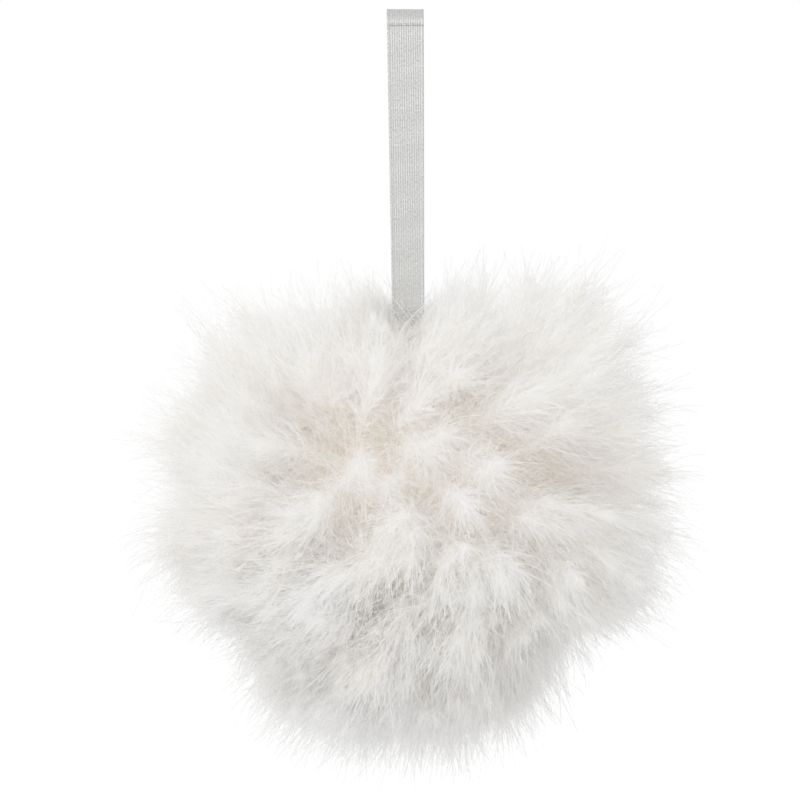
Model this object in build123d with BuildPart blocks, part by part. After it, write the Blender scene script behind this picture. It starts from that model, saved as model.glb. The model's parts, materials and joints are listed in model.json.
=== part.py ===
from build123d import *
from math import cos, radians, sin, sqrt, tan
import os

# Feather ball ornament: a thin glass ball dressed all over with marabou plumes, under a pressed
# metal cap with a wire eye, hung on a loop of woven ribbon. Millimetres, +Z up. The origin is the
# inside of the top of the loop, where a hook or a twig carries it. The ribbon's width runs along X.

# Ribbon loop
ribbon_width_top = 10.0
ribbon_width_foot = 8.6
ribbon_thickness = 0.4
ribbon_top_radius = 3.4  # inside radius of the bend over the hook
ribbon_drop = 88.0  # inside of the top to the bar of the wire eye
ribbon_bar_clearance = 0.25
hem_length = 4.4  # the sewn end laps the front strand this far down
hem_start = 0.6  # the lap begins this far below the top of the loop

# Stitches that sew the lap, one row on each face of the front strand
stitch_count = 5
stitch_length = 1.1
stitch_diameter = 0.3
stitch_lift = 0.02

# Wire hanger
wire_diameter = 0.9
eye_corner_radius = 1.2
eye_edge_clearance = 0.65  # beside the ribbon
eye_height = 8.2  # bar centre to the outer face of the cap
hole_bend_radius = 3.0
leg_depth = 12.0  # legs below the outer face of the cap
leg_wall_clearance = 0.85  # leg to the inside of the neck

# Glass ball
ball_diameter = 70.0
glass_wall = 0.8
neck_diameter = 14.0
neck_height = 6.4

# Metal cap
cap_wall = 0.35
cap_neck_clearance = 0.10
cap_seat_gap = 0.05
cap_hole_spacing = 7.2
cap_hole_clearance = 0.35
cap_flare = 1.8
cap_flare_height = 1.6
cap_shoulder_clearance = 0.6  # skirt above the shoulder of the glass
scallop_count = 12
scallop_radius = 1.1

# Plumes: each is a soft body whose sides stay inside its own cone about the ball's centre
plume_half_angle = 11.8
plume_root_radius = 1.2
plume_root_gap = 0.3
crown_turn = 35.0  # crown plumes stand this far off the X axis and leave the ribbon room to swing
# Rings of plumes: name, elevation, azimuths, length out of the glass, extra length towards +X
plume_rings = [
    ("crown", 68.0, [side + turn for side in (0, 180) for turn in (-crown_turn, crown_turn)], 32.0, 0.0),
    ("upper", 41.7, [4 + 40 * i for i in range(9)], 36.0, 6.0),
    ("shoulder", 15.4, [50 + 30 * i for i in range(12)], 36.0, 1.0),
    ("waist", -13.0, [10 + 30 * i for i in range(12)], 33.5, 1.5),
    ("lower", -38.0, [23 + 36 * i for i in range(10)], 30.0, -3.0),
    ("skirt", -63.3, [19 + 60 * i for i in range(6)], 29.0, -3.0),
    ("foot", -90.0, [0], 28.0, 0.0),
]

# Worked out from the sizes above
wire_radius = wire_diameter / 2
ball_radius = ball_diameter / 2
neck_radius = neck_diameter / 2
neck_inner_radius = neck_radius - glass_wall
bar_z = -ribbon_drop
ribbon_foot_radius = wire_radius + ribbon_bar_clearance
top_bend_z = -ribbon_top_radius
eye_half_width = ribbon_width_foot / 2 + eye_edge_clearance + wire_radius
cap_top_z = bar_z - eye_height
rim_z = cap_top_z - cap_wall - cap_seat_gap
shoulder_z = rim_z - neck_height
ball_z = shoulder_z - sqrt(ball_radius**2 - neck_radius**2)
cap_inner_radius = neck_radius + cap_neck_clearance
cap_outer_radius = cap_inner_radius + cap_wall
cap_foot_z = shoulder_z + cap_shoulder_clearance
cap_flare_radius = cap_outer_radius + cap_flare
hole_x = cap_hole_spacing / 2
leg_foot_x = neck_inner_radius - wire_radius - leg_wall_clearance


def save(part, name):
    part.label = name
    export_step(part, f"parts/{name}.step")


def belt(growth):
    """The loop's side outline: two bends and the straight strands between them."""
    with BuildSketch(Plane.YZ) as outline:
        with Locations((0, top_bend_z)):
            Circle(ribbon_top_radius + growth)
        with Locations((0, bar_z)):
            Circle(ribbon_foot_radius + growth)
        make_hull()
    return outline


os.makedirs("parts", exist_ok=True)

# Ribbon: one woven strip, bent over at the top and round the wire at the foot, its end lapped
inside = belt(0)
strip = belt(ribbon_thickness)
lapped = belt(2 * ribbon_thickness)
with BuildPart() as ribbon_loop:
    add(extrude(strip.sketch, ribbon_width_top / 2, both=True, mode=Mode.PRIVATE))
    with BuildSketch(Plane.YZ) as lap:
        add(lapped.sketch_local)
        with Locations((-ribbon_width_top / 2, -(hem_start + hem_length) / 2)):
            Rectangle(ribbon_width_top, hem_length - hem_start, mode=Mode.INTERSECT)
    extrude(amount=ribbon_width_top / 2, both=True)
    add(extrude(inside.sketch, ribbon_width_top, both=True, mode=Mode.PRIVATE), mode=Mode.SUBTRACT)
    with BuildSketch(Plane.XZ) as taper:
        with BuildLine():
            Polyline(
                (ribbon_width_top / 2, 2 * ribbon_thickness),
                (ribbon_width_foot / 2, bar_z - 2 * ribbon_foot_radius),
                (-ribbon_width_foot / 2, bar_z - 2 * ribbon_foot_radius),
                (-ribbon_width_top / 2, 2 * ribbon_thickness),
                close=True,
            )
        make_face()
    extrude(amount=2 * ribbon_top_radius, both=True, mode=Mode.INTERSECT)
save(ribbon_loop.part, "ribbon_loop")

# Stitches: short thread lengths across the front strand, outside it and inside the loop
stitch_radius = stitch_diameter / 2
outer_row_y = -(ribbon_top_radius + 2 * ribbon_thickness + stitch_lift + stitch_radius)
inner_row_y = -(ribbon_top_radius - stitch_lift - stitch_radius)
stitch_pitch = (ribbon_width_top - stitch_length) / stitch_count
with BuildPart() as seam_stitches:
    for row_y in (outer_row_y, inner_row_y):
        with BuildSketch(Plane.YZ) as thread:
            with Locations((row_y, top_bend_z)):
                Circle(stitch_radius)
        for i in range(stitch_count):
            stitch_x = (i - (stitch_count - 1) / 2) * stitch_pitch
            stitch = extrude(thread.sketch, stitch_length / 2, both=True, mode=Mode.PRIVATE)
            add(Pos(stitch_x, 0, 0) * stitch)
save(seam_stitches.part, "seam_stitches")

# Wire hanger: a flat-topped eye whose legs pass the cap's holes and spread inside the neck
hole_z = cap_top_z - cap_wall / 2
leg_foot_z = cap_top_z - leg_depth
with BuildPart() as wire_hanger:
    with BuildLine(Plane.XZ) as wire_path:
        FilletPolyline(
            (-leg_foot_x, leg_foot_z),
            (-hole_x, hole_z),
            (-eye_half_width, bar_z),
            (eye_half_width, bar_z),
            (hole_x, hole_z),
            (leg_foot_x, leg_foot_z),
            radius=[hole_bend_radius, eye_corner_radius, eye_corner_radius, hole_bend_radius],
        )
    with BuildSketch(Plane(origin=wire_path.line @ 0, z_dir=wire_path.line % 0)) as wire_section:
        Circle(wire_radius)
    sweep()
save(wire_hanger.part, "wire_hanger")

# Cap: a pressed cup over the neck, with two holes for the wire and a scalloped skirt
with BuildPart() as metal_cap:
    with BuildSketch(Plane.XZ) as cap_profile:
        with BuildLine():
            Polyline(
                (0, cap_top_z),
                (cap_outer_radius - cap_wall, cap_top_z),
                (cap_outer_radius, cap_top_z - cap_wall),
                (cap_outer_radius, cap_foot_z + cap_flare_height),
                (cap_flare_radius, cap_foot_z),
                (cap_flare_radius - cap_wall, cap_foot_z),
                (cap_inner_radius, cap_foot_z + cap_flare_height - cap_wall / 2),
                (cap_inner_radius, cap_top_z - cap_wall),
                (0, cap_top_z - cap_wall),
                close=True,
            )
        make_face()
    revolve(axis=Axis.Z)
    with BuildSketch(Plane.XY.offset(cap_top_z)) as wire_holes:
        with Locations((-hole_x, 0), (hole_x, 0)):
            Circle(wire_radius + cap_hole_clearance)
    extrude(amount=-2 * cap_wall, mode=Mode.SUBTRACT)
    with BuildSketch(Plane.XY.offset(cap_foot_z)) as scallops:
        with PolarLocations(cap_flare_radius + scallop_radius / 3, scallop_count):
            Circle(scallop_radius)
    extrude(amount=cap_flare_height, mode=Mode.SUBTRACT)
save(metal_cap.part, "metal_cap")

# Glass ball: a blown sphere with an open neck
with BuildPart() as glass_ball:
    with BuildSketch(Plane.XZ) as glass_profile:
        with Locations((0, ball_z)):
            Circle(ball_radius)
        with Locations((0, (ball_z + rim_z) / 2)):
            Rectangle(neck_diameter, rim_z - ball_z)
        with Locations((0, ball_z)):
            Circle(ball_radius - glass_wall, mode=Mode.SUBTRACT)
        with Locations((0, (ball_z + rim_z) / 2)):
            Rectangle(2 * neck_inner_radius, rim_z - ball_z, mode=Mode.SUBTRACT)
        with Locations((-ball_radius, ball_z)):
            Rectangle(2 * ball_radius, 4 * ball_radius, mode=Mode.SUBTRACT)
    revolve(axis=Axis.Z)
save(glass_ball.part, "glass_ball")


def make_plume(elevation, azimuth, length):
    """A soft spindle that stands on the glass along one direction from the ball's centre."""
    lift, turn = radians(elevation), radians(azimuth)
    out = (cos(lift) * cos(turn), cos(lift) * sin(turn), sin(lift))
    side = (-sin(turn), cos(turn), 0)
    root = ball_radius + plume_root_gap
    spread = tan(radians(plume_half_angle))
    widest = (ball_radius + length) * spread / (1 + spread)
    with BuildPart() as plume:
        with BuildSketch(Plane.XZ):
            with BuildLine():
                Polyline((widest, widest / spread), (plume_root_radius, root), (0, root))
                Line((0, root), (0, ball_radius + length))
                CenterArc((0, widest / spread), widest, start_angle=0, arc_size=90)
            make_face()
        revolve(axis=Axis.Z)
    return Plane(origin=(0, 0, ball_z), x_dir=side, z_dir=out) * plume.part


# Plumes: rings of marabou round the ball, every one glued at its root
for ring, elevation, azimuths, length, lean in plume_rings:
    for number, azimuth in enumerate(azimuths, start=1):
        plume_length = length + lean * cos(radians(azimuth)) * cos(radians(elevation))
        save(make_plume(elevation, azimuth, plume_length), f"plume_{ring}_{number:02d}")
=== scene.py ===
import json
import math

import bpy
import numpy as np
from bpy.props import FloatProperty, FloatVectorProperty, IntProperty, PointerProperty
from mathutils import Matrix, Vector


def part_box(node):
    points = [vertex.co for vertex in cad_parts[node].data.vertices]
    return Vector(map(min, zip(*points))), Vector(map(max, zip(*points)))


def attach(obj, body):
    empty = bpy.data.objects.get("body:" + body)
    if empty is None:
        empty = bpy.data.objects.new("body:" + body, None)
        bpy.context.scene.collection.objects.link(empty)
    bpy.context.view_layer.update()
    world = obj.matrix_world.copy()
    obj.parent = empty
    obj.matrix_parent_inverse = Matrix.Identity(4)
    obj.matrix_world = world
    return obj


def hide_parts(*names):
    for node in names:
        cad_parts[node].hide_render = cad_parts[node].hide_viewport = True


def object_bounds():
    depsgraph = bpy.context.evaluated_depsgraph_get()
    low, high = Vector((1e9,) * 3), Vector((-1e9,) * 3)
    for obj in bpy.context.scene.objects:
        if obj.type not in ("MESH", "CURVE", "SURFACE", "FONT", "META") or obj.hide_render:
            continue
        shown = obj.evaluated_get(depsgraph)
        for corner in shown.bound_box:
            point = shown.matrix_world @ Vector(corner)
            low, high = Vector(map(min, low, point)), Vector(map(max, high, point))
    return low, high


bl_info = {
    "name": "Feather Ball Ornament",
    "version": (1, 0, 0),
    "blender": (4, 5, 0),
    "location": "3D View > Sidebar > Ornament",
    "description": "Dresses the packed ornament with marabou, a woven ribbon, metal and glass",
    "category": "Object",
}

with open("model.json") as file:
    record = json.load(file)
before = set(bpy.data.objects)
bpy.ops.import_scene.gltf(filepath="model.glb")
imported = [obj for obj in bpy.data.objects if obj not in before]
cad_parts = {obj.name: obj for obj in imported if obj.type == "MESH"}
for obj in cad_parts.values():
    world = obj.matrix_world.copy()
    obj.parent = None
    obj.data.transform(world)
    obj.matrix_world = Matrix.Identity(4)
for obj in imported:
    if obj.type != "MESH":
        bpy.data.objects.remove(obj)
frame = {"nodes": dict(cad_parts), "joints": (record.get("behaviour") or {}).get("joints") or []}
CAD_BOX = [list(corner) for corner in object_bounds()]
MM = 0.001
UP = np.array((0.0, 0.0, 1.0))
GOLDEN_ANGLE = math.pi * (3 - math.sqrt(5))
PLUMES = sorted(name for name in frame["nodes"] if name.startswith("plume_"))

# How the down grows
QUILL_SIDES = 6
QUILL_LENGTHS = (0.8, 1.15)  # shortest and longest, as shares of the plume's usual quill
QUILL_CURLS = (-0.2, 0.3)
QUILL_TILTS = (10, 48)  # degrees away from straight out
CROWN_TILTS = (32, 62)  # the same for the crown feathers that close over the cap
BARB_SPANS = 6
BARB_CROWDING = 0.7  # under 1, the barbs crowd towards the quill's end
BARB_OPENING = (76, 34, 15)  # degrees from the quill at its root, how many fewer at its end, and spread
BARB_TAPER = 0.52
BARBULES_PER_SPAN = 2
WISP_START = 0.55  # wisps grow from this share of the quill outwards
WISP_STRETCH = 1.5
WISP_CLOSENESS = 0.5  # wisps open this much less than the other barbs
WISP_REACH = (2, 14)  # millimetres past the surface of the down


# Sizes and colours that a user would change


class RibbonSettings(bpy.types.PropertyGroup):
    """Sizes and colours of the woven ribbon and its sewn lap."""

    cut_width: FloatProperty(
        name="Cut width", description="Width of the ribbon before it is pulled to the wire",
        default=10.0 * MM, unit="LENGTH", precision=4)
    rib_pitch: FloatProperty(
        name="Rib pitch", description="Distance between two lengthwise ribs of the weave",
        default=0.62 * MM, unit="LENGTH", precision=5)
    rib_height: FloatProperty(
        name="Rib height", description="How far a rib stands out of the cloth",
        default=0.035 * MM, unit="LENGTH", precision=5)
    selvedge: FloatProperty(
        name="Selvedge", description="Width of the firm edge on each side",
        default=0.75 * MM, unit="LENGTH", precision=5)
    lean: FloatProperty(
        name="Lean", description="How far the top of the loop stands to the left of the ball's axis",
        default=0.9 * MM, unit="LENGTH", precision=5)
    silver: FloatVectorProperty(
        name="Silver", description="Colour of the metallic yarn", default=(0.57, 0.57, 0.56),
        subtype="COLOR", size=3, min=0, max=1)
    # Painted shade, partly: this darker colour goes where the picks noise is low, which is random tone,
    # and a little more between the ribs, which is painted shade in the weave's grooves.
    shade: FloatVectorProperty(
        name="Shade", description="Colour between the ribs", default=(0.43, 0.43, 0.42),
        subtype="COLOR", size=3, min=0, max=1)


class DownSettings(bpy.types.PropertyGroup):
    """Sizes and colours of the marabou down."""

    feathers: IntProperty(
        name="Feathers", description="Feathers gathered in each plume", default=15, min=1)
    barbs: IntProperty(
        name="Barbs", description="Barbs in each plume", default=2100, min=50)
    plume_spread: FloatProperty(
        name="Plume spread", description="How far the feathers of a plume stand apart on the ball",
        default=0.34, subtype="ANGLE")
    quill_share: FloatProperty(
        name="Quill share", description="Length of a quill as a share of its plume's height",
        default=0.86, subtype="FACTOR", min=0, max=1)
    quill_radius: FloatProperty(
        name="Quill radius", description="Radius of a quill where it is glued to the ball",
        default=0.24 * MM, unit="LENGTH", precision=5)
    wisp_share: FloatProperty(
        name="Wisp share", description="Share of the barbs that are long wisps",
        default=0.13, subtype="FACTOR", min=0, max=1)
    stray: FloatProperty(
        name="Stray", description="How much each feather lies its own way", default=0.45)
    droop: FloatProperty(
        name="Droop", description="How much the feathers lie downwards", default=0.3)
    barb_width: FloatProperty(
        name="Barb width", description="Width of a barb at its root",
        default=0.2 * MM, unit="LENGTH", precision=5)
    barb_length: FloatProperty(
        name="Barb length", description="Mean length of a barb",
        default=21.0 * MM, unit="LENGTH", precision=4)
    barbule_length: FloatProperty(
        name="Barbule length", description="Length of the fine fluff along a barb",
        default=2.8 * MM, unit="LENGTH", precision=5)
    tip_colour: FloatVectorProperty(
        name="Tip colour", description="Colour of the down at the tips", default=(0.991, 0.991, 0.991),
        subtype="COLOR", size=3, min=0, max=1)
    root_colour: FloatVectorProperty(
        name="Root colour", description="Warmer colour of the down near the glass",
        default=(0.991, 0.981, 0.967), subtype="COLOR", size=3, min=0, max=1)
    seed: IntProperty(name="Seed", description="Start of the random draws", default=11)


class StageSettings(bpy.types.PropertyGroup):
    """Camera, floor and light."""

    view_width: FloatProperty(
        name="View width", description="Width that the camera sees at the ball",
        default=216.0 * MM, unit="LENGTH", precision=4)
    view_x: FloatProperty(
        name="View centre X", description="Middle of the view, across",
        default=-2.3 * MM, unit="LENGTH", precision=4)
    view_z: FloatProperty(
        name="View centre Z", description="Middle of the view, in height",
        default=-104.8 * MM, unit="LENGTH", precision=4)
    distance: FloatProperty(
        name="Distance", description="Camera to the ball's axis", default=1.3, unit="LENGTH")
    sky: FloatProperty(
        name="Sky", description="Strength of the even light from all round", default=0.73)
    key: FloatProperty(
        name="Key", description="Power of the soft lamp above the camera's left, in watts",
        default=10.3)


# Geometry shared by the pieces


def node_points(node):
    """The vertices of a CAD node, as an array."""
    mesh = frame["nodes"][node].data
    points = np.zeros(len(mesh.vertices) * 3)
    mesh.vertices.foreach_get("co", points)
    return points.reshape(-1, 3)


def unit(vectors):
    """Each row at length one."""
    return vectors / np.maximum(np.linalg.norm(vectors, axis=-1, keepdims=True), 1e-12)


def make_object(name, points, quads, triangles=None, maps=None, materials=(), material_index=None):
    """A mesh object from arrays of points, quads and triangles. maps gives a uv for each corner."""
    triangles = np.zeros((0, 3), int) if triangles is None else triangles
    mesh = bpy.data.meshes.new(name)
    corners = np.concatenate([quads.ravel(), triangles.ravel()]).astype(np.int32)
    totals = np.concatenate([np.full(len(quads), 4), np.full(len(triangles), 3)])
    starts = np.concatenate([[0], np.cumsum(totals)[:-1]])
    mesh.vertices.add(len(points))
    mesh.vertices.foreach_set("co", np.asarray(points, np.float32).ravel())
    mesh.loops.add(len(corners))
    mesh.loops.foreach_set("vertex_index", corners)
    mesh.polygons.add(len(totals))
    mesh.polygons.foreach_set("loop_start", starts.astype(np.int32))
    if material_index is not None:
        mesh.polygons.foreach_set("material_index", material_index.astype(np.int32))
    for map_name, uv in (maps or {}).items():
        layer = mesh.uv_layers.new(name=map_name)
        layer.data.foreach_set("uv", uv[corners].astype(np.float32).ravel())
    for material in materials:
        mesh.materials.append(material)
    mesh.update()
    if mesh.validate():
        raise RuntimeError(f"{name}: its mesh had faults")
    mesh.shade_smooth()
    piece = bpy.data.objects.new(name, mesh)
    bpy.context.scene.collection.objects.link(piece)
    return piece


def tube(path, radii, sides):
    """Points and quads of a tapered tube along a path, open at its ends."""
    along = unit(np.gradient(path, axis=0))
    askew = unit(np.array((0.31, 0.87, 0.38)))
    side = unit(np.cross(along, askew))
    other = np.cross(along, side)
    turn = np.arange(sides) * 2 * math.pi / sides
    ring = side[:, None] * np.cos(turn)[None, :, None] + other[:, None] * np.sin(turn)[None, :, None]
    points = path[:, None] + ring * np.asarray(radii)[:, None, None]
    row, column = np.meshgrid(np.arange(len(path) - 1), np.arange(sides), indexing="ij")
    after = (column + 1) % sides
    this, following = row * sides, (row + 1) * sides
    quads = np.stack([this + column, this + after, following + after, following + column], -1)
    return points.reshape(-1, 3), quads.reshape(-1, 4)


# Materials


def start_material(name):
    """A new material with its node tree, output and Principled shader."""
    material = bpy.data.materials.new(name)
    material.use_nodes = True
    tree = material.node_tree
    return material, tree, tree.nodes["Material Output"], tree.nodes["Principled BSDF"]


def add_node(tree, kind, **values):
    """A node of one kind, with its plain properties and input defaults set by name."""
    node = tree.nodes.new(kind)
    for key, value in values.items():
        if key in node.inputs:
            node.inputs[key].default_value = value
        else:
            setattr(node, key, value)
    return node


def colour_ramp(tree, source, stops):
    """A colour ramp with (place, colour) stops, fed by a socket."""
    ramp = tree.nodes.new("ShaderNodeValToRGB")
    while len(ramp.color_ramp.elements) < len(stops):
        ramp.color_ramp.elements.new(0.5)
    for element, (place, colour) in zip(ramp.color_ramp.elements, stops):
        element.position = place
        element.color = (*colour, 1)
    tree.links.new(source, ramp.inputs["Fac"])
    return ramp.outputs["Color"]


def add_bump(tree, height, shader, distance, strength):
    """Raises a shader's surface by a height socket."""
    bump = add_node(tree, "ShaderNodeBump", Distance=distance, Strength=strength)
    tree.links.new(height, bump.inputs["Height"])
    tree.links.new(bump.outputs["Normal"], shader.inputs["Normal"])


def scaled(colour, factor):
    return tuple(min(1.0, channel * factor) for channel in colour)


def down_material(settings):
    """Marabou down: warm near the glass, white at the tips, with light coming through it."""
    material, tree, output, shader = start_material("marabou_down")
    strand = add_node(tree, "ShaderNodeUVMap", uv_map="strand")
    split = add_node(tree, "ShaderNodeSeparateXYZ")
    tree.links.new(strand.outputs["UV"], split.inputs["Vector"])
    tip, root = tuple(settings.tip_colour), tuple(settings.root_colour)
    along = colour_ramp(tree, split.outputs["X"], [(0.0, root), (0.45, scaled(tip, 0.98)), (1.0, tip)])
    where = add_node(tree, "ShaderNodeTexCoord")
    patches = add_node(tree, "ShaderNodeTexNoise", Scale=55.0, Detail=2.0)
    tree.links.new(where.outputs["Object"], patches.inputs["Vector"])
    cream = (1.0, 0.994, 0.987)
    tint = colour_ramp(tree, patches.outputs["Fac"], [(0.4, cream), (0.6, (1.0, 1.0, 1.0))])
    blend = add_node(tree, "ShaderNodeMix", data_type="RGBA", blend_type="MULTIPLY")
    blend.inputs[0].default_value = 1.0
    tree.links.new(along, blend.inputs[6])
    tree.links.new(tint, blend.inputs[7])
    colour = blend.outputs[2]
    shader.inputs["Roughness"].default_value = 0.75
    shader.inputs["Specular IOR Level"].default_value = 0.25
    tree.links.new(colour, shader.inputs["Base Color"])
    through = add_node(tree, "ShaderNodeBsdfTranslucent")
    tree.links.new(colour, through.inputs["Color"])
    both = add_node(tree, "ShaderNodeMixShader", Fac=0.56)
    tree.links.new(shader.outputs[0], both.inputs[1])
    tree.links.new(through.outputs[0], both.inputs[2])
    tree.links.new(both.outputs[0], output.inputs["Surface"])
    return material


def quill_material():
    """The horny quill of a plume, pale straw with a faint lengthwise grain."""
    material, tree, _, shader = start_material("quill")
    where = add_node(tree, "ShaderNodeTexCoord")
    grain = add_node(tree, "ShaderNodeTexNoise", Scale=900.0, Detail=3.0)
    tree.links.new(where.outputs["Object"], grain.inputs["Vector"])
    horn, straw = (0.88, 0.84, 0.74), (0.93, 0.9, 0.84)
    colour = colour_ramp(tree, grain.outputs["Fac"], [(0.35, horn), (0.65, straw)])
    tree.links.new(colour, shader.inputs["Base Color"])
    shader.inputs["Roughness"].default_value = 0.4
    return material


def ribbon_material(settings):
    """Woven metallic ribbon: lengthwise ribs, crosswise picks and small glints of the yarn, the glints
    painted as lighter silver (painted highlights), with a little painted shade between the ribs.
    """
    material, tree, _, shader = start_material("silver_ribbon")
    strand = add_node(tree, "ShaderNodeUVMap", uv_map="weave")
    picks = add_node(tree, "ShaderNodeTexNoise", Scale=1.0, Detail=3.0, Roughness=0.65)
    stretch = add_node(tree, "ShaderNodeMapping")
    stretch.inputs["Scale"].default_value = (4200.0, 1500.0, 1.0)
    tree.links.new(strand.outputs["UV"], stretch.inputs["Vector"])
    tree.links.new(stretch.outputs["Vector"], picks.inputs["Vector"])
    split = add_node(tree, "ShaderNodeSeparateXYZ")
    tree.links.new(strand.outputs["UV"], split.inputs["Vector"])
    turns = add_node(tree, "ShaderNodeMath", operation="MULTIPLY")
    turns.inputs[1].default_value = 2 * math.pi / settings.rib_pitch
    tree.links.new(split.outputs["X"], turns.inputs[0])
    ribs = add_node(tree, "ShaderNodeMath", operation="COSINE")
    tree.links.new(turns.outputs[0], ribs.inputs[0])
    # The ribs' cosine nudges the colour darker between the ribs (painted shade); the picks noise gives
    # tone that differs at random.
    mix = add_node(tree, "ShaderNodeMath", operation="MULTIPLY_ADD")
    mix.inputs[1].default_value = 0.04
    tree.links.new(ribs.outputs[0], mix.inputs[0])
    tree.links.new(picks.outputs["Fac"], mix.inputs[2])
    silver, shade = tuple(settings.silver), tuple(settings.shade)
    # Painted highlight: the brightest picks get a lighter silver that stands in for glints of light on
    # the yarn; these picks are also glossier.
    painted_glint = scaled(silver, 1.2)
    colour = colour_ramp(tree, mix.outputs[0], [(0.33, shade), (0.5, silver), (0.67, painted_glint)])
    tree.links.new(colour, shader.inputs["Base Color"])
    shader.inputs["Metallic"].default_value = 0.3
    gloss = add_node(tree, "ShaderNodeMapRange")
    gloss.inputs["To Min"].default_value = 0.55
    gloss.inputs["To Max"].default_value = 0.25
    tree.links.new(picks.outputs["Fac"], gloss.inputs["Value"])
    tree.links.new(gloss.outputs["Result"], shader.inputs["Roughness"])
    add_bump(tree, picks.outputs["Fac"], shader, 0.06 * MM, 0.6)
    return material


def thread_material():
    """Grey sewing thread with a twisted ply, painted darker in the ply's hollows and lighter on its
    crests, as painted shade and painted highlight.
    """
    material, tree, _, shader = start_material("sewing_thread")
    where = add_node(tree, "ShaderNodeTexCoord")
    ply = add_node(tree, "ShaderNodeTexWave", Scale=1600.0, Distortion=1.5)
    ply.bands_direction = "DIAGONAL"
    tree.links.new(where.outputs["Object"], ply.inputs["Vector"])
    # Painted shade and light: the ply's hollows are painted darker and its crests lighter, following
    # the same wave as the bump.
    shaded_hollow, lit_crest = (0.6, 0.6, 0.58), (0.76, 0.76, 0.74)
    colour = colour_ramp(tree, ply.outputs["Fac"], [(0.2, shaded_hollow), (0.8, lit_crest)])
    tree.links.new(colour, shader.inputs["Base Color"])
    shader.inputs["Roughness"].default_value = 0.7
    add_bump(tree, ply.outputs["Fac"], shader, 0.03 * MM, 0.5)
    return material


def metal_material(name, light, dark, scale, roughness, stretch):
    """Plated metal with drawn lines and faint wear."""
    material, tree, _, shader = start_material(name)
    where = add_node(tree, "ShaderNodeTexCoord")
    grain = add_node(tree, "ShaderNodeMapping")
    grain.inputs["Scale"].default_value = stretch
    lines = add_node(tree, "ShaderNodeTexNoise", Scale=scale, Detail=4.0)
    tree.links.new(where.outputs["Object"], grain.inputs["Vector"])
    tree.links.new(grain.outputs["Vector"], lines.inputs["Vector"])
    colour = colour_ramp(tree, lines.outputs["Fac"], [(0.35, dark), (0.6, light)])
    tree.links.new(colour, shader.inputs["Base Color"])
    shader.inputs["Metallic"].default_value = 1.0
    shader.inputs["Roughness"].default_value = roughness
    add_bump(tree, lines.outputs["Fac"], shader, 0.04 * MM, 0.4)
    return material


def glass_material():
    """The ball's cream pearl lacquer over glass, slightly uneven, under a clear gloss."""
    material, tree, _, shader = start_material("pearl_lacquered_glass")
    where = add_node(tree, "ShaderNodeTexCoord")
    clouds = add_node(tree, "ShaderNodeTexNoise", Scale=60.0, Detail=4.0)
    tree.links.new(where.outputs["Object"], clouds.inputs["Vector"])
    cream, pearl = (0.95, 0.89, 0.81), (0.97, 0.92, 0.85)
    colour = colour_ramp(tree, clouds.outputs["Fac"], [(0.35, cream), (0.65, pearl)])
    tree.links.new(colour, shader.inputs["Base Color"])
    shader.inputs["Roughness"].default_value = 0.3
    shader.inputs["Coat Weight"].default_value = 0.6
    shader.inputs["Coat Roughness"].default_value = 0.08
    add_bump(tree, clouds.outputs["Fac"], shader, 0.1 * MM, 0.2)
    return material


def floor_material():
    """White studio paper with a faint tooth. It reads as white to the camera and keeps a shadow."""
    material, tree, output, shader = start_material("studio_paper")
    where = add_node(tree, "ShaderNodeTexCoord")
    tooth = add_node(tree, "ShaderNodeTexNoise", Scale=900.0, Detail=2.0)
    tree.links.new(where.outputs["Object"], tooth.inputs["Vector"])
    low, high = (0.94, 0.94, 0.94), (0.96, 0.96, 0.96)
    colour = colour_ramp(tree, tooth.outputs["Fac"], [(0.3, low), (0.7, high)])
    tree.links.new(colour, shader.inputs["Base Color"])
    shader.inputs["Roughness"].default_value = 1.0
    shader.inputs["Specular IOR Level"].default_value = 0.0
    rays = add_node(tree, "ShaderNodeLightPath")
    lift = add_node(tree, "ShaderNodeMath", operation="MULTIPLY")
    lift.inputs[1].default_value = 0.32
    glow = add_node(tree, "ShaderNodeEmission")
    both = add_node(tree, "ShaderNodeAddShader")
    tree.links.new(rays.outputs["Is Camera Ray"], lift.inputs[0])
    tree.links.new(lift.outputs[0], glow.inputs["Strength"])
    tree.links.new(shader.outputs[0], both.inputs[0])
    tree.links.new(glow.outputs[0], both.inputs[1])
    tree.links.new(both.outputs[0], output.inputs["Surface"])
    return material


# Ribbon


def ribbon_facts():
    """The loop's bends, read from the CAD ribbon, its joint and the wire's bar, in metres."""
    low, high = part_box("ribbon_loop")
    thickness = high.z
    joint = next(j for j in frame["joints"] if j["name"] == "hanger_swing")
    bar = joint["pos_m"][2]
    return {
        "thickness": thickness,
        "width": high.x - low.x,
        "top_radius": high.y - thickness,
        "bar": bar,
        "foot_radius": bar - low.z - thickness,
    }


def bend(height, radii, angles):
    """Points of an arc in the YZ plane about a height on the axis, and their outward directions."""
    return np.stack([
        radii * np.cos(angles), height + radii * np.sin(angles), np.cos(angles), np.sin(angles)], -1)


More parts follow.
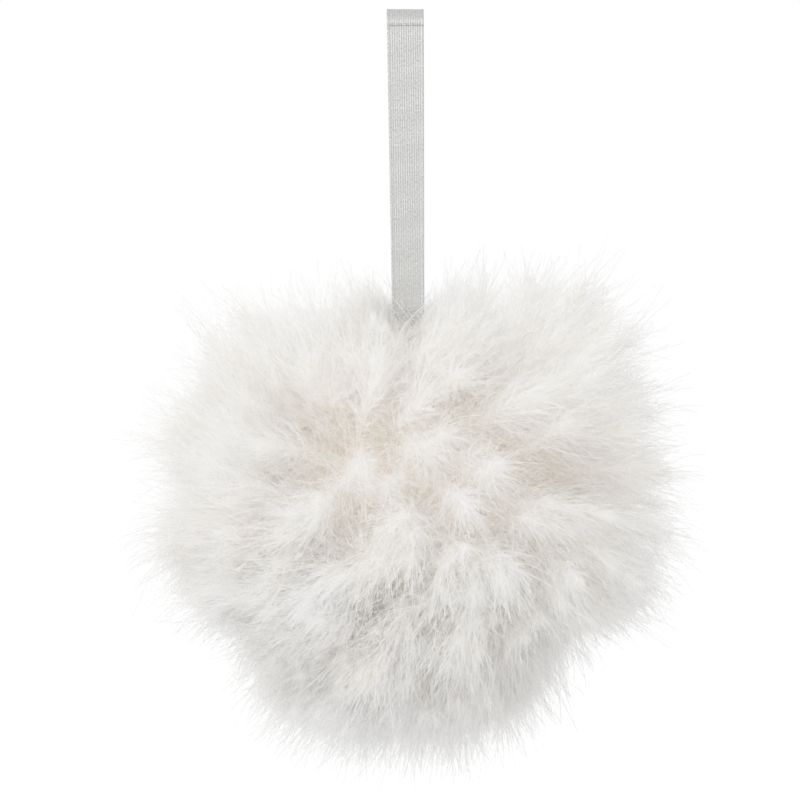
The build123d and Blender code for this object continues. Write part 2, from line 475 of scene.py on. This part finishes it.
def loop_path(facts, step):
    """The strip's middle line in the YZ plane: down the front, round the bar, up the back and over
    the top to the end of the sewn lap. Returns places and outward directions."""
    thickness, top, foot = facts["thickness"], facts["top_radius"], facts["foot_radius"]
    top_z, bar = -top, facts["bar"]
    lean = math.asin((top - foot) / (top_z - bar))
    mid_top, mid_foot = top + thickness / 2, foot + thickness / 2
    under = np.linspace(math.pi / 2, math.pi + lean, max(8, int(mid_top * 2 / step)))
    foot_turn = np.linspace(math.pi + lean, 2 * math.pi - lean, 24)
    over = np.linspace(-lean, math.pi + lean, max(16, int(mid_top * 4 / step)))
    rise = thickness * np.clip((over + lean) / (math.pi / 2 + lean), 0, 1)
    line = np.concatenate([
        bend(top_z, mid_top, under), bend(bar, mid_foot, foot_turn), bend(top_z, mid_top + rise, over)])
    lap_dip, lap_drop = 0.08 * MM, 0.4 * MM
    lap_end = line[-1].copy()
    lap_end[:2] += (lap_dip, -lap_drop)
    line = np.vstack([line, lap_end])
    gaps = np.linalg.norm(np.diff(line[:, :2], axis=0), axis=1)
    length = np.concatenate([[0], np.cumsum(gaps)])
    places = np.linspace(0, length[-1], int(length[-1] / step))
    crisp_edge = 0.04 * MM
    places = np.insert(places, -1, places[-1] - crisp_edge)
    smooth = np.stack([np.interp(places, length, line[:, i]) for i in range(4)], -1)
    smooth[:, 2:] = unit(smooth[:, 2:])
    return smooth[:, :2], smooth[:, 2:], places


def ribbon_width(facts, height):
    """The ribbon narrows a little towards the wire."""
    foot_share = 0.86
    share = np.clip(height / facts["bar"], 0, 1)
    return facts["width"] * (1 + (foot_share - 1) * share)


class ORNAMENT_OT_ribbon(bpy.types.Operator):
    """Weaves the ribbon loop with its ribs, selvedges and sewn lap"""

    bl_idname = "ornament.ribbon"
    bl_label = "Ribbon"

    def execute(self, context):
        settings = context.scene.ornament_ribbon
        facts = ribbon_facts()
        step, columns = 0.42 * MM, 72
        line, outward, places = loop_path(facts, step)
        width = ribbon_width(facts, line[:, 1])
        across = np.linspace(-0.5, 0.5, columns)
        x = across[None, :] * width[:, None]
        edge = 0.5 * width[:, None] - np.abs(x)
        ribs = settings.rib_height * np.cos(2 * math.pi * x / settings.rib_pitch)
        from_cord = (edge - settings.selvedge / 2) / (settings.selvedge / 3)
        selvedge_rise = 1.6
        selvedge = settings.rib_height * selvedge_rise * np.exp(-from_cord ** 2)
        wave_height, wave_length, skew = 0.03 * MM, 9 * MM, 2.0
        phase = places[:, None] * 2 * math.pi / wave_length + skew * across[None, :]
        waves = wave_height * np.sin(phase)
        lift = np.where(edge > settings.selvedge, ribs, selvedge) + waves
        shift = -settings.lean * (1 - np.clip(line[:, 1] / facts["bar"], 0, 1))
        cloth_share = 0.72
        half = facts["thickness"] * cloth_share / 2
        faces = []
        for side in (1, -1):
            height = side * half + lift
            points = np.empty((len(line), columns, 3))
            points[..., 0] = x + shift[:, None]
            points[..., 1] = line[:, None, 0] + outward[:, None, 0] * height
            points[..., 2] = line[:, None, 1] + outward[:, None, 1] * height
            faces.append(points.reshape(-1, 3))
        count = len(line) * columns
        row, column = np.meshgrid(np.arange(len(line) - 1), np.arange(columns - 1), indexing="ij")
        a = (row * columns + column).ravel()
        outer = np.stack([a, a + 1, a + columns + 1, a + columns], -1)
        inner = outer[:, ::-1] + count
        r = np.arange(len(line) - 1) * columns
        left = np.stack([r, r + columns, r + columns + count, r + count], -1)
        last = r + columns - 1
        right = np.stack([last, last + count, last + columns + count, last + columns], -1)
        c = np.arange(columns - 1)
        first_end = np.stack([c, c + count, c + 1 + count, c + 1], -1)
        tail = (len(line) - 1) * columns + c
        last_end = np.stack([tail, tail + 1, tail + 1 + count, tail + count], -1)
        quads = np.concatenate([outer, inner, left, right, first_end, last_end])
        weave = np.stack(np.broadcast_arrays(x, places[:, None]), -1)
        weave = np.concatenate([weave.reshape(-1, 2)] * 2)
        ribbon = make_object(
            "woven_ribbon", np.concatenate(faces), quads, maps={"weave": weave},
            materials=[ribbon_material(settings)])
        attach(ribbon, "ribbon")
        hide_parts("ribbon_loop")
        return {"FINISHED"}


class ORNAMENT_OT_stitches(bpy.types.Operator):
    """Sews the lap with two rows of short bowed stitches"""

    bl_idname = "ornament.stitches"
    bl_label = "Stitches"

    def execute(self, context):
        settings = context.scene.ornament_ribbon
        low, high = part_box("seam_stitches")
        radius = (high.z - low.z) / 2
        count, length = 5, 1.1 * MM
        middle = (low.z + high.z) / 2
        pitch = (high.x - low.x - length) / (count - 1)
        dive, wander, fill, pinch = 1.1, 0.1, 0.9, 0.35  # shares of the thread's radius
        points, quads, base = [], [], 0
        for row, out in ((low.y + radius, -1), (high.y - radius, 1)):
            for i in range(count):
                centre = low.x + length / 2 + i * pitch - settings.lean
                share = np.linspace(-1, 1, 9)
                path = np.stack([
                    centre + share * length / 2,
                    row - out * radius * dive * share**4,
                    middle + wander * radius * np.sin(share * 3 + i),
                ], -1)
                stitch, stitch_quads = tube(path, radius * (fill - pinch * share**6), sides=8)
                points.append(stitch)
                quads.append(stitch_quads + base)
                base += len(stitch)
        thread = make_object(
            "seam_thread", np.concatenate(points), np.concatenate(quads), materials=[thread_material()])
        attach(thread, "ribbon")
        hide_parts("seam_stitches")
        return {"FINISHED"}


# Metal and glass


def finish_node(node, material):
    """Gives a CAD node its material."""
    mesh = frame["nodes"][node].data
    mesh.materials.clear()
    mesh.materials.append(material)


class ORNAMENT_OT_wire(bpy.types.Operator):
    """Finishes the wire eye as drawn plated wire"""

    bl_idname = "ornament.wire"
    bl_label = "Wire eye"

    def execute(self, context):
        material = metal_material(
            "drawn_wire", light=(0.78, 0.77, 0.75), dark=(0.6, 0.59, 0.57), scale=700.0,
            roughness=0.28, stretch=(4.0, 4.0, 0.6))
        finish_node("wire_hanger", material)
        return {"FINISHED"}


class ORNAMENT_OT_cap(bpy.types.Operator):
    """Finishes the cap as pressed silver-coloured tinplate"""

    bl_idname = "ornament.cap"
    bl_label = "Cap"

    def execute(self, context):
        material = metal_material(
            "pressed_tinplate", light=(0.83, 0.82, 0.8), dark=(0.68, 0.67, 0.65), scale=260.0,
            roughness=0.22, stretch=(1.0, 1.0, 7.0))
        finish_node("metal_cap", material)
        return {"FINISHED"}


class ORNAMENT_OT_glass(bpy.types.Operator):
    """Finishes the ball as glass with a cream pearl lacquer"""

    bl_idname = "ornament.glass"
    bl_label = "Glass ball"

    def execute(self, context):
        finish_node("glass_ball", glass_material())
        return {"FINISHED"}


# Plumes


def ball_facts():
    """The centre and radius of the glass ball."""
    low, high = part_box("glass_ball")
    radius = (high.x - low.x) / 2
    return np.array((0.0, 0.0, low.z + radius)), radius


def plume_facts(node, centre):
    """Where a plume's CAD solid points from the ball's centre, and how far it reaches."""
    points = node_points(node) - centre
    reach = np.linalg.norm(points, axis=1)
    tip = points[reach.argmax()]
    return unit(tip), float(reach.max())


def keep_clear(points, keep_off):
    """Moves points off the hanging ribbon, the wire eye and the cap, to the side they stand on."""
    points = points.copy()
    near = (points[..., 2] > keep_off["cap_high"]) & (np.abs(points[..., 0]) < keep_off["ribbon_x"])
    near &= np.abs(points[..., 1]) < keep_off["ribbon_y"]
    aside = np.where(points[..., 1] < 0, -keep_off["ribbon_y"], keep_off["ribbon_y"])
    points[..., 1] = np.where(near, aside, points[..., 1])
    flat = np.maximum(np.linalg.norm(points[..., :2], axis=-1), 1e-9)
    inside = (points[..., 2] > keep_off["cap_low"]) & (points[..., 2] <= keep_off["cap_high"])
    push = np.where(inside & (flat < keep_off["cap_radius"]), keep_off["cap_radius"] / flat, 1.0)
    points[..., :2] *= push[..., None]
    return points


def band(directions, middle, half):
    """How near each direction is to an elevation, from 0 to 1. The angles are in degrees."""
    elevation = np.arcsin(np.clip(directions[..., 2], -1, 1))
    return np.exp(-(((elevation - math.radians(middle)) / math.radians(half)) ** 2))


def parting(directions):
    """Where the down parts for the ribbon, from 0 to 1: a groove over the top, along its swing."""
    groove, fade_start, fade = 0.12, 0.6, 0.3
    across = np.exp(-((directions[..., 0] / groove) ** 2))
    return across * np.clip((directions[..., 2] - fade_start) / fade, 0, 1)


def fullness(directions):
    """How far the down reaches in each direction, as a share of its plume's reach."""
    x = directions[..., 0]
    level = np.cos(np.arcsin(np.clip(directions[..., 2], -1, 1)))
    sideways = np.abs(x) / np.maximum(level, 1e-6)
    shoulders = band(directions, 45, 14) * sideways**2
    nape = band(directions, -36, 11) * np.abs(x)
    foot = band(directions, -80, 28)
    left_crown = band(directions, 70, 12) * np.clip(-4 * x, 0, 1)
    fuller = 1 - 0.09 * left_crown - 0.04 * foot + 0.14 * shoulders
    return fuller - 0.3 * nape - 0.23 * parting(directions)


def perk(direction):
    """Where the feathers stand up instead of drooping, from 0 to 1: the shoulder towards +X."""
    return float(band(direction, 40, 16)) * max(0.0, direction[0])


def grow_feather(rng, settings, ball, base, lay, tilt, reach, keep_off):
    """One feather of a plume: its barbs as an array of paths, and its quill."""
    centre, radius = ball
    count = settings.barbs // settings.feathers
    length = (reach * float(fullness(base)) - radius) * settings.quill_share
    length *= rng.uniform(*QUILL_LENGTHS)
    curl = rng.uniform(*QUILL_CURLS)

    def quill(place):
        place = np.asarray(place)[..., None]
        rise = place * math.cos(tilt) - 0.3 * curl * place**2
        spread = place * math.sin(tilt) + curl * place**2
        return centre + base * (radius + 0.6 * MM) + length * (rise * base + spread * lay)

    end = quill(1.0) - centre
    room = reach * float(fullness(unit(end))) - radius - 2.0 * MM
    length *= min(1.0, room / (np.linalg.norm(end) - radius))

    wisp = rng.random(count) < settings.wisp_share
    wisp_start = WISP_START + (1 - WISP_START) * rng.random(count)
    start = np.where(wisp, wisp_start, rng.random(count) ** BARB_CROWDING)
    heading = unit(quill(start + 0.02) - quill(start))
    turn = rng.uniform(0, 2 * math.pi, count)
    opening, closing, spread = BARB_OPENING
    open_angle = np.radians(opening - closing * start + rng.normal(0, spread, count))
    open_angle *= np.where(wisp, WISP_CLOSENESS, 1.0)
    aside = unit(np.cross(heading, unit(rng.normal(0, 1, 3))))
    across = np.cross(heading, aside)
    ring = aside * np.cos(turn)[:, None] + across * np.sin(turn)[:, None]
    direction = unit(heading * np.cos(open_angle)[:, None] + ring * np.sin(open_angle)[:, None])
    barb_length = settings.barb_length * (0.55 + 0.45 * rng.random(count)) * (1 - 0.22 * start)
    barb_length *= np.where(wisp, WISP_STRETCH, 1.0)
    drift = unit(rng.normal(0, 1, (count, 3)))
    wave = rng.uniform(0, 2 * math.pi, count)
    paths = np.empty((count, BARB_SPANS + 1, 3))
    paths[:, 0] = quill(start)
    step = (barb_length / BARB_SPANS)[:, None]
    for i in range(BARB_SPANS):
        radial = unit(paths[:, i] - centre)
        bow = np.sin(wave + 5.0 * i / BARB_SPANS)[:, None] * np.cross(direction, drift)
        pull = 0.12 * radial + 0.10 * lay + 0.10 * drift + 0.15 * bow - 0.04 * UP
        direction = unit(direction + pull)
        paths[:, i + 1] = paths[:, i] + direction * step

    root_radius = np.linalg.norm(paths[:, 0] - centre, axis=1)
    tip_radius = np.linalg.norm(paths[:, -1] - centre, axis=1)
    toward = unit(paths[:, -1] - centre)
    calm = 1 - 0.85 * parting(toward)
    furthest = reach * fullness(toward) + rng.normal(-1.0 * MM, 2.0 * MM, count) * calm
    furthest += np.where(wisp, rng.uniform(*WISP_REACH, count) * MM, 0) * calm
    furthest = np.minimum(furthest, keep_off["girth"] / np.linalg.norm(toward[:, :2], axis=1))
    over = np.clip((furthest - root_radius) / np.maximum(tip_radius - root_radius, 1e-6), 0.25, 1)
    shorter = np.where(tip_radius > furthest, over, 1.0)
    paths = paths[:, :1] + (paths - paths[:, :1]) * shorter[:, None, None]
    away = paths - centre
    distance = np.linalg.norm(away, axis=2, keepdims=True)
    paths = centre + away * np.maximum(distance, radius + 1.0 * MM) / distance
    return keep_clear(paths, keep_off), quill(np.linspace(0, 1, 10))


def combed(base):
    """The direction in which the down lies at a place on the ball. It changes slowly over the ball."""
    x, y, z = base
    flow = np.array((
        math.sin(2.3 * y + 3.1 * z + 1.1), math.sin(2.9 * z + 0.4), math.sin(2.6 * x - 2.0 * y + 2.2)))
    return flow - flow @ base * base


def grow_plume(rng, settings, ball, out, reach, keep_off):
    """The barbs of all the feathers in one plume, and the quills that carry them."""
    sideways = unit(np.cross(out, UP if abs(out[2]) < 0.99 else np.array((1.0, 0.0, 0.0))))
    upward = np.cross(sideways, out)
    crown = out[2] > keep_off["crown"]
    barbs, quills = [], []
    phase = rng.uniform(0, 2 * math.pi)
    for place in range(settings.feathers):
        turn = phase + place * GOLDEN_ANGLE + rng.normal(0, 0.15)
        apart = settings.plume_spread * math.sqrt((place + 0.5) / settings.feathers)
        wander = (sideways * math.cos(turn) + upward * math.sin(turn)) * apart
        if crown:
            wander = np.cross(UP, out) * (2 * (place + 0.5) / settings.feathers - 1)
        base = unit(out + wander)
        across = np.linalg.norm(base[:2])
        if base[2] > 0 and across < keep_off["base_across"]:
            base[:2] *= keep_off["base_across"] / across
            base = unit(base)
        fall = settings.droop - 2.2 * perk(base)
        lay = combed(base) + settings.stray * rng.normal(0, 1, 3) - fall * UP
        tilt = math.radians(rng.uniform(*QUILL_TILTS))
        if crown and place % 5 < 3:
            lay = 0.5 * unit(lay) - unit(np.array((base[0], base[1], 0.0)))
            tilt = math.radians(rng.uniform(*CROWN_TILTS))
        lay = unit(lay - base * (lay @ base))
        paths, spine = grow_feather(rng, settings, ball, base, lay, tilt, reach, keep_off)
        barbs.append(paths)
        quills.append(spine)
    return np.concatenate(barbs), quills


def barb_mesh(rng, settings, centre, paths):
    """Flat tapered strips along the barbs, their faces mostly outward, with thin barbules on each."""
    count, places, _ = paths.shape
    share = np.linspace(0, 1, places)
    along = unit(np.gradient(paths, axis=1))
    facing = unit(unit(paths - centre) + 0.5 * unit(rng.normal(0, 1, (count, 1, 3))))
    side = unit(np.cross(facing, along))
    reach = np.linalg.norm(paths[:, -1] - paths[:, 0], axis=1, keepdims=True)
    stout = settings.barb_width * rng.uniform(0.7, 1.25, (count, 1))
    stout *= np.clip(reach / settings.barb_length, 0.85, 1.5)
    thin = stout * (1 - BARB_TAPER * share[None, :])
    left = paths + side * (thin / 2)[..., None]
    right = paths - side * (thin / 2)[..., None]
    strip = np.stack([left, right], 2).reshape(-1, 3)
    barb, place = np.meshgrid(np.arange(count), np.arange(places - 1), indexing="ij")
    a = ((barb * places + place) * 2).ravel()
    quads = np.stack([a, a + 1, a + 3, a + 2], -1)
    row = (np.arange(count) + 0.5) / count
    half_row = 0.4 / count
    strip_u = np.broadcast_to(share[None, :, None], (count, places, 2))
    strip_v = np.stack([row[:, None] - half_row + 0 * share, row[:, None] + half_row + 0 * share], -1)
    strip_uv = np.stack([strip_u, strip_v], -1).reshape(-1, 2)

    spans = places - 1
    spot = rng.random((count, spans, BARBULES_PER_SPAN))
    foot = paths[:, :-1, None] * (1 - spot[..., None]) + paths[:, 1:, None] * spot[..., None]
    heading = np.broadcast_to(along[:, :-1, None], foot.shape)
    aside = unit(np.cross(heading, unit(rng.normal(0, 1, foot.shape))))
    fall = 1 - 0.72 * (np.arange(spans)[None, :, None] + spot) / spans
    fluff_length = settings.barbule_length * rng.uniform(0.6, 1.1, spot.shape) * fall
    tip = foot + unit(heading * 0.9 + aside) * fluff_length[..., None]
    base = unit(np.cross(heading, aside)) * (settings.barb_width * 0.3)
    fluff = np.stack([foot - base, foot + base, tip], 3).reshape(-1, 3)
    triangles = np.arange(len(fluff)).reshape(-1, 3) + len(strip)
    fluff_u = (np.arange(spans)[None, :, None] + spot) / spans
    fluff_uv = np.empty((*spot.shape, 3, 2))
    fluff_uv[..., 0] = fluff_u[..., None]
    fluff_uv[..., 2, 0] = np.minimum(fluff_u + 0.02, 1)
    fluff_uv[..., 0, 1] = row[:, None, None] - half_row
    fluff_uv[..., 1:, 1] = (row[:, None, None] + half_row)[..., None]
    points = np.concatenate([strip, fluff])
    return points, quads, triangles, np.concatenate([strip_uv, fluff_uv.reshape(-1, 2)])


class ORNAMENT_OT_plumes(bpy.types.Operator):
    """Grows every marabou plume in the place of its plain solid"""

    bl_idname = "ornament.plumes"
    bl_label = "Plumes"

    def execute(self, context):
        settings = context.scene.ornament_down
        ball = ball_facts()
        cap_low, cap_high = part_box("metal_cap")
        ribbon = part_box("ribbon_loop")
        keep_off = {
            "ribbon_x": ribbon[1].x + 0.6 * MM,
            "ribbon_y": 2.2 * MM,
            "cap_radius": cap_high.x + 0.5 * MM,
            "cap_low": cap_low.z - 1.0 * MM,
            "cap_high": cap_high.z + 0.5 * MM,
            "base_across": (cap_high.x + 1.5 * MM) / ball[1],
            "crown": 0.85,
            "girth": min(-CAD_BOX[0][0], CAD_BOX[1][0]) + 13.3 * MM,
        }
        materials = [down_material(settings), quill_material()]
        rng = np.random.default_rng(settings.seed)
        for node in PLUMES:
            out, reach = plume_facts(node, ball[0])
            paths, spines = grow_plume(rng, settings, ball, out, reach, keep_off)
            points, quads, triangles, uv = barb_mesh(rng, settings, ball[0], paths)
            barb_quads = len(quads)
            for spine in spines:
                taper = np.linspace(settings.quill_radius, settings.quill_radius / 4, len(spine))
                quill_points, quill_quads = tube(spine, taper, QUILL_SIDES)
                quads = np.concatenate([quads, quill_quads + len(points)])
                points = np.concatenate([points, quill_points])
                quill_u = np.repeat(np.linspace(0, 1, len(spine)), QUILL_SIDES)
                uv = np.concatenate([uv, np.stack([quill_u, np.zeros(len(quill_u))], -1)])
            index = np.zeros(len(quads) + len(triangles), int)
            index[barb_quads:len(quads)] = 1
            name = node.replace("plume_", "marabou_")
            plume = make_object(
                name, points, quads, triangles,
                maps={"strand": uv, "OFBake": uv}, materials=materials, material_index=index)
            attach(plume, "ball")
            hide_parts(node)
        return {"FINISHED"}


# Stage


class ORNAMENT_OT_stage(bpy.types.Operator):
    """Sets the paper floor, the even white surround, the soft lamp and the camera"""

    bl_idname = "ornament.stage"
    bl_label = "Stage"

    def execute(self, context):
        scene = context.scene
        settings = scene.ornament_stage
        floor_drop, half = 150 * MM, 6.0
        floor_z = CAD_BOX[0][2] - floor_drop
        corners = np.array([
            (-half, -half, floor_z), (half, -half, floor_z),
            (half, half, floor_z), (-half, half, floor_z)])
        floor = make_object(
            "paper_floor", corners, np.array([[0, 1, 2, 3]]), materials=[floor_material()])

        world = bpy.data.worlds.new("white_surround")
        world.use_nodes = True
        tree = world.node_tree
        tree.nodes.clear()
        output = add_node(tree, "ShaderNodeOutputWorld")
        light = add_node(tree, "ShaderNodeBackground", Color=(1, 1, 1, 1), Strength=settings.sky)
        seen = add_node(tree, "ShaderNodeBackground", Color=(1, 1, 1, 1), Strength=1.0)
        rays = add_node(tree, "ShaderNodeLightPath")
        either = add_node(tree, "ShaderNodeMath", operation="MAXIMUM")
        any_of = add_node(tree, "ShaderNodeMath", operation="MAXIMUM")
        mix = add_node(tree, "ShaderNodeMixShader")
        tree.links.new(rays.outputs["Is Camera Ray"], either.inputs[0])
        tree.links.new(rays.outputs["Is Glossy Ray"], either.inputs[1])
        tree.links.new(either.outputs[0], any_of.inputs[0])
        tree.links.new(rays.outputs["Is Transmission Ray"], any_of.inputs[1])
        tree.links.new(any_of.outputs[0], mix.inputs[0])
        tree.links.new(light.outputs[0], mix.inputs[1])
        tree.links.new(seen.outputs[0], mix.inputs[2])
        tree.links.new(mix.outputs[0], output.inputs["Surface"])
        scene.world = world

        target = Vector((0, 0, settings.view_z))
        lamp = bpy.data.lights.new("soft_key", "AREA")
        lamp.shape = "DISK"
        lamp.size = 1.2
        lamp.energy = settings.key
        key = bpy.data.objects.new("soft_key", lamp)
        from_ball = Vector((-0.7, -1.6, 0.6))
        key.location = target + from_ball
        key.rotation_euler = (target - key.location).to_track_quat("-Z", "Y").to_euler()
        scene.collection.objects.link(key)

        camera_data = bpy.data.cameras.new("camera")
        camera_data.sensor_width = 36.0
        camera_data.lens = camera_data.sensor_width * settings.distance / settings.view_width
        camera_data.clip_start = 0.05
        camera = bpy.data.objects.new("camera", camera_data)
        camera.location = (settings.view_x, -settings.distance, settings.view_z)
        camera.rotation_euler = (math.pi / 2, 0, 0)
        scene.collection.objects.link(camera)
        scene.camera = camera
        scene.view_settings.view_transform = "Standard"
        scene.cycles.max_bounces = 28
        scene.cycles.diffuse_bounces = 24
        return {"FINISHED"}


class ORNAMENT_PT_panel(bpy.types.Panel):
    """Lists the pieces and their sizes"""

    bl_idname = "ORNAMENT_PT_panel"
    bl_label = "Feather Ball Ornament"
    bl_space_type = "VIEW_3D"
    bl_region_type = "UI"
    bl_category = "Ornament"

    def draw(self, context):
        scene = context.scene
        for operator in OPERATORS:
            self.layout.operator(operator.bl_idname)
        for settings in (scene.ornament_ribbon, scene.ornament_down, scene.ornament_stage):
            box = self.layout.box()
            for key in settings.bl_rna.properties.keys():
                if key not in ("rna_type", "name"):
                    box.prop(settings, key)


OPERATORS = (
    ORNAMENT_OT_stage,
    ORNAMENT_OT_ribbon,
    ORNAMENT_OT_stitches,
    ORNAMENT_OT_wire,
    ORNAMENT_OT_cap,
    ORNAMENT_OT_glass,
    ORNAMENT_OT_plumes,
)
SETTINGS = {
    "ornament_ribbon": RibbonSettings,
    "ornament_down": DownSettings,
    "ornament_stage": StageSettings,
}


def register():
    for kind in (*SETTINGS.values(), *OPERATORS, ORNAMENT_PT_panel):
        bpy.utils.register_class(kind)
    for name, kind in SETTINGS.items():
        setattr(bpy.types.Scene, name, PointerProperty(type=kind))


def unregister():
    for name in SETTINGS:
        delattr(bpy.types.Scene, name)
    for kind in (ORNAMENT_PT_panel, *reversed(OPERATORS), *SETTINGS.values()):
        bpy.utils.unregister_class(kind)


def main():
    """Makes every piece in order."""
    register()
    for operator in OPERATORS:
        category, name = operator.bl_idname.split(".")
        getattr(getattr(bpy.ops, category), name)()


if __name__ == "__main__":
    main()
